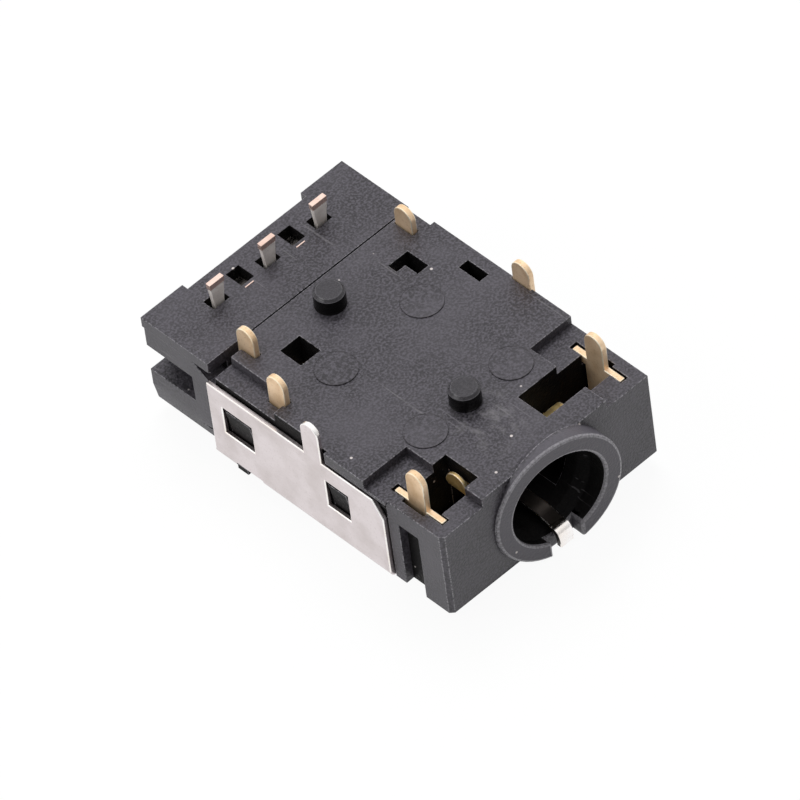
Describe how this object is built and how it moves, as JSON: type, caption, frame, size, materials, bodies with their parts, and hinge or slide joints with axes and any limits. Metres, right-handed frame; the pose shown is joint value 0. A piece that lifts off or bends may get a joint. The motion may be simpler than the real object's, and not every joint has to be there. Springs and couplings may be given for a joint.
{
  "type": "audio jack socket",
  "caption": "Board-mount audio jack socket: moulded body with a round mouth ferrule, side ground shell, sprung contacts with solder tails, locating posts and a rear optical transmitter.",
  "frame": {"origin": "under the middle of the whole jack, at the height of the ferrule's lowest point", "axes": "+Z out of the board face, along the solder tails; -Y out of the mouth, along the bore; the steel ground shell is on the -X side"},
  "size_m": [0.0106, 0.0164, 0.0061],
  "materials": {
    "black_plastic": "fine matt grain",
    "gold_plate": "thin gold plating on copper alloy strip",
    "stainless_steel": "satin rolled strip",
    "tinned_copper": "dull tin with bare cut ends",
    "clear_resin": "smooth moulded resin",
    "silicon": "polished"
  },
  "bodies": {
    "root": {"housing": "black_plastic", "rear_holder": "black_plastic", "ground_shell": "stainless_steel", "front_left_contact": "gold_plate", "front_right_contact": "gold_plate", "rear_left_contact": "gold_plate", "rear_right_contact": "gold_plate", "mid_left_contact": "gold_plate", "mid_right_contact": "gold_plate", "optic_body": "clear_resin", "signal_lead": "tinned_copper", "emitter_lead": "tinned_copper", "driver_lead": "tinned_copper", "emitter_die": "silicon", "driver_chip": "silicon"}
  },
  "joints": []
}
